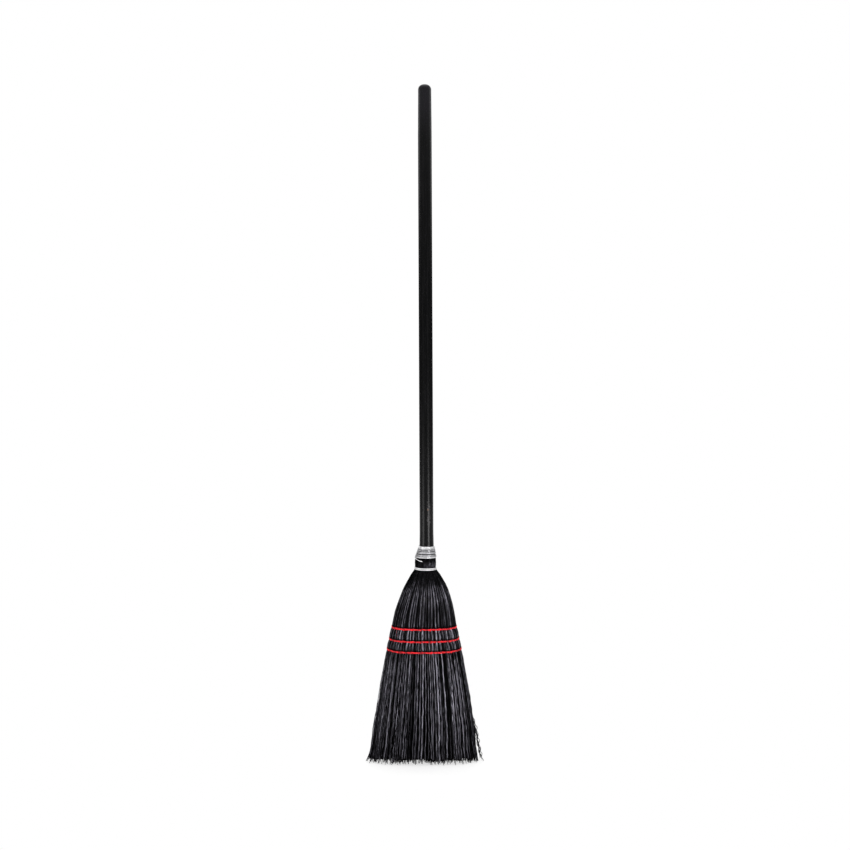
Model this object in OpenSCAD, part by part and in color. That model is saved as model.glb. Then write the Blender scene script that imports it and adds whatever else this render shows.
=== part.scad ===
// Lobby broom: a flat head of black plastic bristle, bound with wire to a turned wood handle
// and sewn with three rows of red twine.
// Millimetres, +Z up. The bristle tips stand on z = 0, the handle's axis is x = y = 0 and the
// front of the flat head faces -Y.

/* [Overall] */
// Height of the handle's top above the floor
overall_height = 952; // [880:1:1030]
// Height of the neck, where the bristles leave the wire
neck_height = 268; // [240:1:300]

/* [Handle] */
// Diameter of the handle
handle_d = 19.4; // [18:0.1:21]
// Diameter where the top end starts to round over
handle_top_d = 18.6; // [17:0.1:19]
// Length over which the top end narrows
handle_top_taper = 62; // [20:1:120]
// Radius of the rounded edge at the top
handle_edge_r = 6; // [2:0.5:8]
// Diameter where the handle enters the wire
handle_low_d = 20.4; // [19.4:0.1:20.6]
// Length over which the handle swells above the wire
handle_swell = 24; // [16:1:40]
// Length of the tapered end inside the head
handle_taper = 85; // [82:1:90]
// Diameter of the tapered end's tip
handle_tip_d = 10; // [8:0.5:11]

/* [Bound neck] */
// Diameter of the bristle butts under the wire
neck_d = 28; // [26:0.5:32]
// Height of the straight part of the butts above the neck
butt_straight = 18.5; // [17:0.5:24]
// Height over which the butts are trimmed to a cone
butt_cone = 13.5; // [10:0.5:18]
// Thickness of the trimmed butts at the top of the cone
butt_edge = 0.5; // [0.3:0.1:1]
// Share of the ring of butts that each side bundle takes, as a half angle
shoulder_angle = 40; // [35:1:50]

/* [Binding wire] */
// Diameter of the wire
wire_d = 1.3; // [1:0.1:1.4]
// Rise of the winding in one turn
wire_pitch = 1.75; // [1.7:0.05:2]
// Height of the lowest turn's underside above the neck
band_rise = 1.6; // [1.5:0.1:3]
// Turns in the lower band
band_turns = 2; // [1:1:3]
// Height that the wire climbs from the band to the cone
crossing_rise = 13; // [10:0.5:15]
// Angle that the wire takes to climb
crossing_angle = 226; // [180:1:320]
// Turns on the cone
cone_turns = 9.25; // [6.25:1:9.25]
// Depth of the holes that take the wire's ends
wire_hole_depth = 5; // [3:0.5:6]
// Diameter of the tack that pins the last turn
tack_d = 1.4; // [1:0.1:1.8]
// Diameter of the tack's head
tack_head_d = 4; // [3:0.1:5]
// Thickness of the tack's head
tack_head_t = 0.7; // [0.5:0.1:1.2]
// Length of the tack under its head
tack_length = 9; // [6:0.5:12]

/* [Core] */
// Height of the core's lower edge below the neck
core_drop = 36; // [32:1:40]
// Height of the core's bound butts
core_butt = 14; // [11:0.5:16]
// Diameter of the core's bound butts
core_d = 21.2; // [20:0.2:22]
// Turns of wire round the core
core_turns = 4; // [3:1:5]

/* [Head] */
// Drop from the neck to the shoulder
shoulder_drop = 16; // [12:1:24]
// Width of the head at the shoulder
shoulder_w = 56; // [50:1:62]
// Thickness of the head at the shoulder
shoulder_t = 41; // [38:1:46]
// Drop from the neck to where the sewn part starts
sewn_drop = 54; // [50:1:60]
// Width of the head where the sewn part starts
sewn_w = 82.5; // [76:0.5:90]
// Thickness of the head where the sewn part starts
sewn_t = 52; // [48:1:58]
// Width of the head at the floor
base_w = 160; // [140:1:180]
// Thickness of the head at the floor
base_t = 43; // [40:1:60]
// How far the sewn head hangs to the left of the handle
head_set = 3; // [0:0.5:4]
// Roundness of the head's section, where 2 is an ellipse
section_power = 2.4; // [2:0.1:3]

/* [Bristle strands] */
// Strands through the thickness of the head
strand_rows = 13; // [12:1:13]
// Radius of a strand at its root
strand_root_r = 0.25; // [0.2:0.01:0.3]
// Radius of a strand where the head is sewn
strand_sewn_r = 0.85; // [0.6:0.05:0.95]
// Radius of a core strand below the handle's tip
strand_core_r = 0.5; // [0.4:0.05:0.55]
// Radius of a strand at its tip
strand_tip_r = 1.7; // [1.2:0.1:1.8]
// Share of the head's section that the core fills, measured from its centre
core_share = 0.52; // [0.48:0.01:0.54]

/* [Sewing] */
// Drop from the neck to the top row of twine
row_drop = 78; // [74:1:84]
// Drop from the top row to the middle row
middle_drop = 17.5; // [14:0.5:22]
// Drop from the middle row to the bottom row
bottom_drop = 14.5; // [13:0.5:20]
// Diameter of the twine wrapped round the head
wrap_d = 0.9; // [0.8:0.1:1.1]
// Diameter of the twine sewn through the head
lacing_d = 1; // [0.8:0.1:1.2]
// Stitches on each side of the middle one
stitch_side = 3; // [2:1:3]
// Distance from the last stitch to the head's end in the middle row
stitch_end = 9.75; // [9:0.25:12]
// How far a stitch hole moves aside between the middle of the head and its face
stitch_slant = 3; // [2:0.25:3.5]

/* [Clearances] */
// Gap between a binding and what it binds
bind_gap = 0.05; // [0.02:0.01:0.1]
// Gap between the bristle butts and the handle
butt_gap = 0.15; // [0.1:0.05:0.3]
// Gap between the two turns of a twine wrap
wrap_gap = 0.45; // [0.41:0.01:0.6]
// Gap between twine and what it passes
twine_gap = 0.2; // [0.1:0.05:0.3]

/* [Hidden] */

LACQUER = "#141416";
BRISTLE = "#1b1b1e";
STEEL = "#b4b5b9";
TWINE = "#d8141f";

// Angles seen from above: right is 0, back is 90, left is 180 and front is 270.
BACK = 90;
LEFT = 180;
FRONT = 270;

// Heights of the bound neck, from the floor up
taper_top = neck_height + butt_straight + butt_cone;
taper_tip = taper_top - handle_taper;
cone_start = neck_height + butt_straight;
band_low = neck_height + band_rise + wire_d / 2;
band_high = band_low + band_turns * wire_pitch;
winding_low = band_high + crossing_rise;
winding_high = winding_low + cone_turns * wire_pitch;
core_low = neck_height - core_drop;
core_high = core_low + core_butt;

handle_r = handle_d / 2;
handle_low_r = handle_low_d / 2;
handle_tip_r = handle_tip_d / 2;
neck_r = neck_d / 2;
core_r = core_d / 2;
wire_r = wire_d / 2;
wrap_r = wrap_d / 2;
lacing_r = lacing_d / 2;

swell_top = taper_top + handle_swell;
function handle_radius(z) =
  lookup(z, [[taper_tip, handle_tip_r], [taper_top, handle_low_r], [swell_top, handle_r]]);
function butt_radius(z) = lookup(z, [
  [cone_start, neck_r], [taper_top, handle_low_r + butt_edge], [taper_top + wire_pitch, handle_low_r]
]);

// Outline of the head, by height
root_overlap = 1.2;
root_z = neck_height + root_overlap;
shoulder_z = neck_height - shoulder_drop;
sewn_z = neck_height - sewn_drop;
root_margin = 1.6;
root_outer_r = neck_r - root_margin;
root_inner_r = handle_radius(root_z) + butt_gap + 2 * strand_root_r;
function half_width(z) =
  lookup(z, [[0, base_w / 2], [sewn_z, sewn_w / 2], [shoulder_z, shoulder_w / 2], [root_z, root_outer_r]]);
function half_depth(z) =
  lookup(z, [[0, base_t / 2], [sewn_z, sewn_t / 2], [shoulder_z, shoulder_t / 2], [root_z, root_outer_r]]);
function head_centre(z) = -head_set * lookup(z, [[0, 1], [sewn_z, 0.8], [root_z, 0]]);
function strand_radius(z) =
  lookup(z, [[0, strand_tip_r], [sewn_z, strand_sewn_r], [root_z, strand_root_r]]);

// Half the section's thickness at a place across it, both as shares of their largest
function chord(u) = pow(max(0, 1 - pow(abs(u), section_power)), 1 / section_power);
function section_radius(u, v) =
  pow(pow(abs(u), section_power) + pow(abs(v * chord(u)), section_power), 1 / section_power);

// Heights and stitches of the three sewn rows
top_row = neck_height - row_drop;
middle_row = top_row - middle_drop;
bottom_row = middle_row - bottom_drop;
last_stitch = 1 - stitch_end / half_width(middle_row);
stitch_share = last_stitch / stitch_side;
stitch_lean = stitch_slant / half_width(middle_row);
wrap_pitch = wrap_d + wrap_gap;
stitch_rise = wrap_pitch / 2 + wrap_r + lacing_r + twine_gap;

function mix(a, b, t) = a + (b - a) * t;
function unit(v) = v / norm(v);
function polar(r, angle, z) = [r * cos(angle), r * sin(angle), z];
function sum(list) = len(list) == 0 ? 0 : [for (x = list) 1] * list;
function flat(lists) = [for (list = lists) for (x = list) x];

// Tubes swept along a list of points

function tangents(path) =
  let (last = len(path) - 1)
  [for (i = [0:last]) unit(path[min(i + 1, last)] - path[max(i - 1, 0)])];
function square_to(v, t) = unit(v - t * (v * t));
function carried(t, first) =
  [for (i = 0, n = square_to(first, t[0]); i < len(t);
        n = i + 1 < len(t) ? square_to(n, t[i + 1]) : n, i = i + 1) n];
function tube_points(path, r, sides, first) =
  let (t = tangents(path), n = carried(t, first))
  [for (i = [0:len(path) - 1]) let (b = cross(t[i], n[i])) for (j = [0:sides - 1])
    let (a = 360 * (j + 0.5) / sides) path[i] + r * (cos(a) * n[i] + sin(a) * b)];
// Triangles round a run of rings, each end closed by a fan
function tube_faces(rings, sides, offset) = concat(
  [for (i = [0:rings - 2]) for (j = [0:sides - 1])
    let (a = offset + i * sides + j, b = offset + i * sides + (j + 1) % sides)
    each [[a, a + sides, b + sides], [a, b + sides, b]]],
  [for (j = [1:sides - 2]) [offset, offset + j, offset + j + 1]],
  [for (j = [1:sides - 2]) let (e = offset + (rings - 1) * sides) [e, e + j + 1, e + j]]
);
module tube(path, r, sides, first) {
  polyhedron(tube_points(path, r, sides, first), tube_faces(len(path), sides, 0));
}

// Least distance between points of a path that lie at least skip points apart, less the tube's diameter
function least_gap(path, d, skip) =
  min([for (i = [0:len(path) - 1 - skip]) for (j = [i + skip:len(path) - 1]) norm(path[i] - path[j])]) - d;

// Wire windings

wire_rings = 14;
wire_sides = 6;
// A ring's corners stand out so that its flats lie on the bound surface
function round_out(n) = 1 / cos(180 / n);
function wire_seat(z) = (butt_radius(z) + bind_gap + wire_r) * round_out(wire_rings);
function wire_end_r(z) = handle_radius(z) - wire_hole_depth;

winding_end_angle = BACK;
crossing_start = winding_end_angle + 360 * cone_turns;
crossing_end = crossing_start + crossing_angle;
band_end_angle = crossing_end + 360 * band_turns;
wire_step = 360 / wire_rings;
crossing_steps = ceil(crossing_angle / wire_step);

// The wire's ends leave the winding in a small bend and run straight into the handle
bend_angles = [0, 5, 12];
bend_insets = [0.6, 0.15, 0];
function wire_lead(seat, end_r, angle, z, turn) = concat(
  [polar(end_r, angle, z)],
  [for (i = [0:2]) polar(seat - bend_insets[i] * wire_d, angle + turn * bend_angles[i], z)]
);
binding_path = let (
    cone_first = winding_end_angle + wire_step,
    band_last = band_end_angle - wire_step
  ) concat(
  wire_lead(wire_seat(winding_high), wire_end_r(winding_high), winding_end_angle, winding_high, 1),
  [for (angle = [cone_first:wire_step:crossing_start - wire_step / 2])
    let (z = winding_high - wire_pitch * (angle - winding_end_angle) / 360) polar(wire_seat(z), angle, z)],
  [for (i = [0:crossing_steps])
    let (t = i / crossing_steps, z = mix(winding_low, band_high, t))
    polar(wire_seat(z), mix(crossing_start, crossing_end, t), z)],
  [for (angle = [crossing_end + wire_step:wire_step:band_last + wire_step / 2])
    let (z = band_high - wire_pitch * (angle - crossing_end) / 360) polar(wire_seat(z), angle, z)],
  reverse(wire_lead(wire_seat(band_low), wire_end_r(band_low), band_end_angle, band_low, -1))
);
function reverse(list) = [for (i = [len(list) - 1:-1:0]) list[i]];

core_rings = 10;
core_sides = 4;
core_wire_mid = (core_low + core_high) / 2;
core_wire_rise = core_turns * wire_pitch;
core_wire_high = core_wire_mid + core_wire_rise / 2;
core_wire_low = core_wire_mid - core_wire_rise / 2;
core_seat = (core_r + bind_gap + wire_r) * round_out(core_rings);
core_step = 360 / core_rings;
core_end_angle = 360 * core_turns;
core_path = concat(
  wire_lead(core_seat, handle_radius(core_wire_high) - wire_hole_depth / 2, 0, core_wire_high, 1),
  [for (angle = [core_step:core_step:core_end_angle - core_step / 2])
    polar(core_seat, angle, core_wire_high - wire_pitch * angle / 360)],
  reverse(wire_lead(core_seat, handle_radius(core_wire_low) - wire_hole_depth / 2, core_end_angle,
                    core_wire_low, -1))
);
echo(binding_wire_gap = least_gap(binding_path, wire_d, wire_rings - 2));
echo(core_wire_gap = least_gap(core_path, wire_d, core_rings - 2));

hole_gap = 0.1;
module radial_hole(angle, z, r, from_r, to_r) {
  rotate([0, 0, angle]) translate([from_r, 0, z]) rotate([0, 90, 0])
    cylinder(h = to_r - from_r, r = r, $fn = 48);
}
module wire_end_holes(past) {
  radial_hole(winding_end_angle, winding_high, wire_r + hole_gap, wire_end_r(winding_high) - past, neck_d);
  radial_hole(band_end_angle, band_low, wire_r + hole_gap, wire_end_r(band_low) - past, neck_d);
}

// Handle and tack

tack_angle = winding_end_angle + 20;
tack_z = winding_high + wire_r + tack_d / 2 + hole_gap;
tack_seat = wire_seat(winding_high) + wire_r + bind_gap;
module handle() {
  shoulder = overall_height - handle_edge_r;
  top_r = handle_top_d / 2;
  color(LACQUER) difference() {
    union() {
      translate([0, 0, taper_tip]) cylinder(h = handle_taper, r1 = handle_tip_r, r2 = handle_low_r, $fn = 96);
      translate([0, 0, taper_top]) cylinder(h = handle_swell, r1 = handle_low_r, r2 = handle_r, $fn = 96);
      translate([0, 0, swell_top])
        cylinder(h = shoulder - handle_top_taper - swell_top, r = handle_r, $fn = 96);
      translate([0, 0, shoulder - handle_top_taper])
        cylinder(h = handle_top_taper, r1 = handle_r, r2 = top_r, $fn = 96);
      translate([0, 0, shoulder]) rotate_extrude($fn = 96) {
        square([top_r - handle_edge_r, handle_edge_r]);
        intersection() {
          translate([top_r - handle_edge_r, 0]) circle(r = handle_edge_r, $fn = 64);
          square([top_r, handle_edge_r]);
        }
      }
    }
    wire_end_holes(0.5);
    for (end = [[0, core_wire_high], [core_end_angle, core_wire_low]])
      radial_hole(end[0], end[1], wire_r + hole_gap,
                  handle_radius(end[1]) - wire_hole_depth / 2 - 0.5, neck_d);
    radial_hole(tack_angle, tack_z, tack_d / 2 + bind_gap, tack_seat - tack_length - 0.5, neck_d);
  }
}

module wire_tack() {
  color(STEEL) {
    radial_hole(tack_angle, tack_z, tack_d / 2, tack_seat - tack_length, tack_seat);
    radial_hole(tack_angle, tack_z, tack_head_d / 2, tack_seat, tack_seat + tack_head_t);
  }
}

// Bristle strands
// A strand is given by its place in the head's section: across at the floor, across at the
// sewing, where each group is drawn in between two stitches, and through the thickness.

group_columns = 4;
draw_in = 0.62;
zigzag = 0.25;
end_places = [0.46, 0.73, 1];
end_zigzags = [0, 0.06, 0];
column_share = stitch_share / group_columns;
inner_columns = [for (g = [-stitch_side:stitch_side - 1]) let (middle = (g + 0.5) * stitch_share)
  for (c = [0:group_columns - 1]) let (off = (c + 0.5 - group_columns / 2) * column_share)
    [middle + off, middle + off * draw_in, column_share * zigzag]];
end_columns = [for (side = [-1, 1]) for (i = [0:len(end_places) - 1])
  let (u = side * mix(last_stitch, 1, end_places[i])) [u, u, side * end_zigzags[i] * (1 - last_stitch)]];
// Rows of strands slant with the stitch holes between them, and less towards the head's ends
function slanted(u, v) = u + stitch_lean * v * min(1, (1 - abs(u)) / (1 - last_stitch));
// Past the last stitch a column has an even number, so that no strand stands in line with the last one
function strands_through(u) = let (n = strand_rows * chord(u))
  abs(u) < last_stitch ? round(n) : max(1, 2 * floor(n / 2));
places = [for (column = concat(inner_columns, end_columns)) let (n = strands_through(column[0]))
  for (i = [0:n - 1])
    let (
      side = min(i, n - 1 - i) % 2 == 0 ? 1 : -1,
      v = n > 1 ? 2 * i / (n - 1) - 1 : 0
    )
    [slanted(column[0] + side * column[2], v), slanted(column[1] + side * column[2] * draw_in, v), v]];
function place_radius(p) = section_radius(p[0], p[2]);
function place_angle(p) = atan2(p[2] * chord(p[0]), p[0]);
function is_core(p) = place_radius(p) < core_share;
function in_bundle(p, middle, half) =
  !is_core(p) && abs((place_angle(p) - middle + 900) % 360 - 180) <= half;

// Place of a strand in the fanned part of the head
function fan_place(u, v, z) = let (r = strand_radius(z)) [
  head_centre(z) + (half_width(z) - r) * u,
  (half_depth(z) - r) * v * chord(u)
];

// An outer strand: from its place in the ring of butts, over the shoulder, through the sewing, to the floor
shoulder_fan = 0.3;
bundle_draw = 0.93;
function outer_strand(p, middle) = let (
    ring = (place_radius(p) - core_share) / (1 - core_share),
    off = (place_angle(p) - middle + 900) % 360 - 180,
    angle = middle + off * bundle_draw,
    r = mix(root_inner_r, root_outer_r - strand_root_r, ring),
    root = [r * cos(angle), r * sin(angle)],
    slim = strand_radius(shoulder_z),
    spread = [(half_width(shoulder_z) - slim) / root_outer_r, (half_depth(shoulder_z) - slim) / root_outer_r],
    flared = [root[0] * spread[0] + head_centre(shoulder_z), root[1] * spread[1]]
  ) [
    concat(root, root_z),
    concat(mix(flared, fan_place(p[1], p[2], shoulder_z), shoulder_fan), shoulder_z),
    concat(fan_place(p[1], p[2], sewn_z), sewn_z),
    concat(fan_place(p[0], p[2], 0), 0)
  ];

// A core strand: from the ring of bound butts round the handle's tip, straight to the floor
core_root_z = core_low + root_overlap;
core_root_r = (handle_radius(core_root_z) + butt_gap + core_r) / 2;
core_places = [for (p = places) if (is_core(p)) p];
tip_z = taper_tip - 3;
// Below the handle's tip the strands stand clear of it, moved to the front and back
function core_below(p) = let (
    free = fan_place(p[1], p[2], tip_z),
    keep = handle_tip_r + strand_sewn_r,
    push = sqrt(max(0, keep * keep - free[0] * free[0])),
    reach = core_share * half_depth(tip_z)
  ) [free[0], (p[2] < 0 ? -1 : 1) * (push + abs(free[1]) * max(0, 1 - push / reach))];
// In the ring they keep their order round the handle; those at one angle run from the inside out
function core_order(p) = let (c = core_below(p)) atan2(c[1], c[0]) + norm(c) / 100;
core_orders = [for (p = core_places) core_order(p)];
function core_rank(p) = let (mine = core_order(p)) len([for (order = core_orders) if (order < mine) 1]);
function core_strand(p) = let (angle = 360 * (core_rank(p) + 0.5) / len(core_places) - 180) [
    polar(core_root_r, angle, core_root_z),
    concat(core_below(p), tip_z),
    concat(fan_place(p[0], p[2], 0), 0)
  ];

strand_sides = 3;
module strands(lines, radii) {
  rings = len(radii);
  polyhedron(
    [for (line = lines) for (i = [0:rings - 1]) for (j = [0:strand_sides - 1])
      let (c = line[i], a = BACK - 360 * j / strand_sides)
      [c[0] + radii[i] * cos(a), c[1] + radii[i] * sin(a), c[2]]],
    [for (i = [0:len(lines) - 1]) each tube_faces(rings, strand_sides, i * rings * strand_sides)]
  );
}

// The bound butts of one bundle: its sector of the ring round the handle
sector_gap = 0.6;
module butts(middle, half) {
  difference() {
    rotate([0, 0, middle - half + sector_gap / 2])
      rotate_extrude(angle = 2 * half - sector_gap, $fn = 96) polygon([
        [handle_radius(neck_height) + butt_gap, neck_height],
        [neck_r, neck_height],
        [neck_r, cone_start],
        [handle_low_r + butt_edge, taper_top],
        [handle_low_r + butt_gap, taper_top]
      ]);
    wire_end_holes(0.5);
  }
}
module outer_bundle(middle, half) {
  color(BRISTLE) {
    butts(middle, half);
    strands([for (p = places) if (in_bundle(p, middle, half)) outer_strand(p, middle)],
            [strand_root_r, strand_radius(shoulder_z), strand_sewn_r, strand_tip_r]);
  }
}
module left_shoulder_bristles() { outer_bundle(LEFT, shoulder_angle); }
module right_shoulder_bristles() { outer_bundle(0, shoulder_angle); }
module front_cover_bristles() { outer_bundle(FRONT, 90 - shoulder_angle); }
module back_cover_bristles() { outer_bundle(BACK, 90 - shoulder_angle); }

module core_bristles() {
  color(BRISTLE) {
    difference() {
      rotate_extrude($fn = 96) polygon([
        [handle_radius(core_low) + butt_gap, core_low],
        [core_r, core_low],
        [core_r, core_high],
        [handle_radius(core_high) + butt_gap, core_high]
      ]);
      for (end = [[0, core_wire_high], [core_end_angle, core_wire_low]])
        radial_hole(end[0], end[1], wire_r + hole_gap, 0, neck_d);
    }
    strands([for (p = core_places) core_strand(p)], [strand_root_r, strand_core_r, strand_tip_r]);
  }
}

module core_wire() {
  color(STEEL) tube(core_path, wire_r, core_sides, [0, 0, 1]);
}
module binding_wire() {
  color(STEEL) tube(binding_path, wire_r, wire_sides, [0, 0, 1]);
}

// Twine

wrap_rings = 16;
twine_sides = 4;
// A point on the section's outline, moved out by a distance, at a sweep angle
function outline(angle, out, z) = let (
    reach = round_out(wrap_rings),
    c = cos(angle), s = sin(angle),
    power = 2 / section_power
  ) [
    head_centre(z) + (half_width(z) + out) * reach * sign(c) * pow(abs(c), power),
    (half_depth(z) + out) * reach * sign(s) * pow(abs(s), power),
    z
  ];
wrap_out = twine_gap + wrap_r;
lacing_out = wrap_out + wrap_r + twine_gap + lacing_r;
// Where a stitch hole lies in a row, from the front at -1 to the back at 1, and the outline's depth there
function stitch_x(k, v, z) =
  head_centre(z) + (half_width(z) - strand_radius(z)) * (k * stitch_share + v * stitch_lean);
function outline_y(x, out, z) = let (u = (x - head_centre(z)) / (half_width(z) + out))
  (half_depth(z) + out) * round_out(wrap_rings) * chord(min(1, abs(u)));

// The wrap goes round twice. It starts in the last stitch hole but one at the back, passes from its
// upper to its lower turn between that hole and the last one, and ends in the last one.
function hole_angle(k, z) = acos(pow(
  (stitch_x(k, 1, z) - head_centre(z)) / ((half_width(z) + wrap_out) * round_out(wrap_rings)), section_power / 2));
function wrap_run(from, to, z, at_z) = let (n = ceil((to - from) * wrap_rings / 360))
  [for (i = [0:n]) let (p = outline(mix(from, to, i / n), wrap_out, z)) [p[0], p[1], at_z]];
function wrap_path(z) = let (
    start = hole_angle(stitch_side - 1, z),
    end = hole_angle(stitch_side, z),
    high = z + wrap_pitch / 2,
    low = z - wrap_pitch / 2,
    first = outline(start, wrap_out, z),
    last = outline(end, wrap_out, z),
    half_step = 180 / wrap_rings,
    tuck = 4 * wrap_d
  ) concat(
  [[first[0], first[1] - tuck, high], [first[0], first[1], high]],
  wrap_run(start + half_step, end + 360, z, high),
  wrap_run(start + 360, end + 720 - half_step, z, low),
  [[last[0], last[1], low], [last[0], last[1] - tuck, low]]
);

// The lacing is sewn from the left: over the wrap on the front, down and through, up over the wrap on the back
function lacing_path(z) = let (
    first = -stitch_side,
    last = stitch_side,
    high = z + stitch_rise,
    low = z - stitch_rise
  ) concat(
  [[stitch_x(first, 0, z), 0, high]],
  flat([for (k = [first:last - 1]) let (
      x = stitch_x(k, -1, z),
      next = stitch_x(k + 1, -1, z),
      between = (x + next) / 2,
      behind = stitch_x(k + 1, 1, z)
    ) [
      [x, -outline_y(x, lacing_out, z), high],
      [between, -outline_y(between, lacing_out, z), z],
      [next, -outline_y(next, lacing_out, z), low],
      [behind, outline_y(behind, lacing_out, z), low],
      [behind, outline_y(behind, lacing_out, z), high]
    ]]),
  [[stitch_x(last, 0, z), 0, high]]
);
echo(twine_wrap_gap = min([for (z = [top_row, middle_row, bottom_row])
  least_gap(wrap_path(z), wrap_d, wrap_rings - 4)]));

module twine_wrap(z) {
  color(TWINE) tube(wrap_path(z), wrap_r, twine_sides, [0, 0, 1]);
}
module twine_lacing(z) {
  color(TWINE) tube(lacing_path(z), lacing_r, twine_sides, [0, 0.2, 1]);
}
module top_twine_wrap() { twine_wrap(top_row); }
module top_twine_lacing() { twine_lacing(top_row); }
module middle_twine_wrap() { twine_wrap(middle_row); }
module middle_twine_lacing() { twine_lacing(middle_row); }
module bottom_twine_wrap() { twine_wrap(bottom_row); }
module bottom_twine_lacing() { twine_lacing(bottom_row); }

echo(strands = len(places), core = len(core_places));

handle();
wire_tack();
core_bristles();
core_wire();
left_shoulder_bristles();
right_shoulder_bristles();
front_cover_bristles();
back_cover_bristles();
binding_wire();
top_twine_wrap();
top_twine_lacing();
middle_twine_wrap();
middle_twine_lacing();
bottom_twine_wrap();
bottom_twine_lacing();
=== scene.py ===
import math

import bpy
import numpy as np
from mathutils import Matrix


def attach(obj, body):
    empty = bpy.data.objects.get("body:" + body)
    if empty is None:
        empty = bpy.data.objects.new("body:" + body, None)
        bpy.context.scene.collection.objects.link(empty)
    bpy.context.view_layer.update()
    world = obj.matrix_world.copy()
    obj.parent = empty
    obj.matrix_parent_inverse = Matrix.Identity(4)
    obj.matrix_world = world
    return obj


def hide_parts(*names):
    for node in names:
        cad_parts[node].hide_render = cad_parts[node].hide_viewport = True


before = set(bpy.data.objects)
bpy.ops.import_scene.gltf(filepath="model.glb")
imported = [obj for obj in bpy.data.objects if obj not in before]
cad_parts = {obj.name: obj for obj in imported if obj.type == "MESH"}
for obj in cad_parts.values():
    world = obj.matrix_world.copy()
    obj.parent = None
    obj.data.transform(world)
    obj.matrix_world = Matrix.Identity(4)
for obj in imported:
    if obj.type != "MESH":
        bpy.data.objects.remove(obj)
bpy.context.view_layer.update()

# Handle: a turned wood dowel with a domed end, dipped in thin black lacquer. The grain shows
# through the coat as fine lengthwise pits, the top end is painted lighter as a painted sheen, and
# a scuff near the head has bared one small spot.
LACQUER_BLACK = (0.0028, 0.0028, 0.003, 1)
LACQUER_WORN = (0.007, 0.0066, 0.0072, 1)
LACQUER_PAINTED_SHEEN = (0.0105, 0.0098, 0.0122, 1)
LACQUER_SCUFFED = (0.075, 0.072, 0.074, 1)
BARE_WOOD = (0.16, 0.10, 0.065, 1)
KNOCK_PLACE = (0.0022, -0.0094, 0.3547)
KNOCK_RADIUS = 0.0011
KNOCK_UNEVEN = 0.0009
# Where the scuff lies across the front, how far round it goes and at what height, each with soft edges
SCUFF_ACROSS = (0.0002, 0.0014, 0.0046, 0.0062)
SCUFF_ROUND = (-0.006, -0.004)
SCUFF_HEIGHT = (0.331, 0.336, 0.358, 0.366)
# Heights over which the top of the handle turns to a painted sheen, lighter than the lacquer
HANDLE_SHEEN_HEIGHT = (0.87, 0.935)


class Value:
    """One output among a material's nodes; arithmetic on it adds Math nodes"""

    def __init__(self, tree, output):
        self.tree = tree
        self.output = output

    def node(self, kind, settings, inputs, result=0):
        made = self.tree.nodes.new(kind)
        for name, setting in settings.items():
            setattr(made, name, setting)
        for name, value in inputs.items():
            if isinstance(value, Value):
                self.tree.links.new(value.output, made.inputs[name])
            else:
                made.inputs[name].default_value = value
        return Value(self.tree, made.outputs[result])

    def maths(self, operation, first, second):
        return self.node("ShaderNodeMath", {"operation": operation}, {0: first, 1: second})

    def __add__(self, other):
        return self.maths("ADD", self, other)

    __radd__ = __add__

    def __sub__(self, other):
        return self.maths("SUBTRACT", self, other)

    def __rsub__(self, other):
        return self.maths("SUBTRACT", other, self)

    def __mul__(self, other):
        return self.maths("MULTIPLY", self, other)

    __rmul__ = __mul__

    def stretched(self, scale):
        return self.node("ShaderNodeMapping", {}, {"Vector": self, "Scale": scale})

    def noise(self, scale, detail=3.0, roughness=0.55):
        return self.node("ShaderNodeTexNoise", {},
                         {"Vector": self, "Scale": scale, "Detail": detail, "Roughness": roughness})

    def between(self, low, high):
        """A mask that rises from 0 at low to 1 at high"""
        return self.node("ShaderNodeMapRange", {"interpolation_type": "SMOOTHSTEP"},
                         {"Value": self, "From Min": low, "From Max": high})

    def within(self, low, rise, fall, high):
        """A mask that rises from 0 at low to 1 at rise, and falls from 1 at fall to 0 at high"""
        return self.between(low, rise) * (1 - self.between(fall, high))

    def larger(self, other):
        return self.maths("MAXIMUM", self, other)

    def axis(self, name):
        """The X, Y or Z of a place"""
        return self.node("ShaderNodeSeparateXYZ", {}, {"Vector": self}, name)

    def tint(self, colour_low, colour_high):
        """Colour that goes from one to the other with this mask"""
        inputs = {0: self, 6: colour_low, 7: colour_high}
        return self.node("ShaderNodeMix", {"data_type": "RGBA"}, inputs, 2)

    def bump(self, strength, distance):
        return self.node("ShaderNodeBump", {}, {"Strength": strength, "Distance": distance, "Height": self})

    def into(self, shader, socket):
        self.tree.links.new(self.output, shader.inputs[socket])


def new_finish(name, **uniform):
    """A material with its shader and its Object coordinates; uniform values go on the shader's sockets"""
    finish = bpy.data.materials.new(name)
    finish.use_nodes = True
    tree = finish.node_tree
    shader = tree.nodes["Principled BSDF"]
    for socket, value in uniform.items():
        shader.inputs[socket.replace("_", " ")].default_value = value
    place = Value(tree, tree.nodes.new("ShaderNodeTexCoord").outputs["Object"])
    return finish, shader, place


def dress(piece, finish):
    piece.data.materials.clear()
    piece.data.materials.append(finish)


lacquer, shader, place = new_finish("black_lacquer", Specular_IOR_Level=0.12)
grain = place.stretched((1, 1, 0.03)).noise(620, 4)
pores = place.stretched((1, 1, 0.09)).noise(1900, 2).between(0.6, 0.72)
knock = place.node("ShaderNodeVectorMath", {"operation": "DISTANCE"}, {0: place, 1: KNOCK_PLACE}, "Value")
knock = 1 - (knock + KNOCK_UNEVEN * place.noise(900)).between(KNOCK_RADIUS, KNOCK_RADIUS * 1.6)
height = place.axis("Z")
scuff = place.axis("X").within(*SCUFF_ACROSS) * (1 - place.axis("Y").between(*SCUFF_ROUND))
scuff = scuff * height.within(*SCUFF_HEIGHT)
scuff = scuff * place.stretched((1, 1, 0.4)).noise(1300, 3).between(0.49, 0.6)
black = grain.between(0.45, 0.75).tint(LACQUER_BLACK, LACQUER_WORN)
# Painted sheen: the top of the handle is made lighter, standing in for a reflection from above
black = height.between(*HANDLE_SHEEN_HEIGHT).tint(black, LACQUER_PAINTED_SHEEN)
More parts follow.
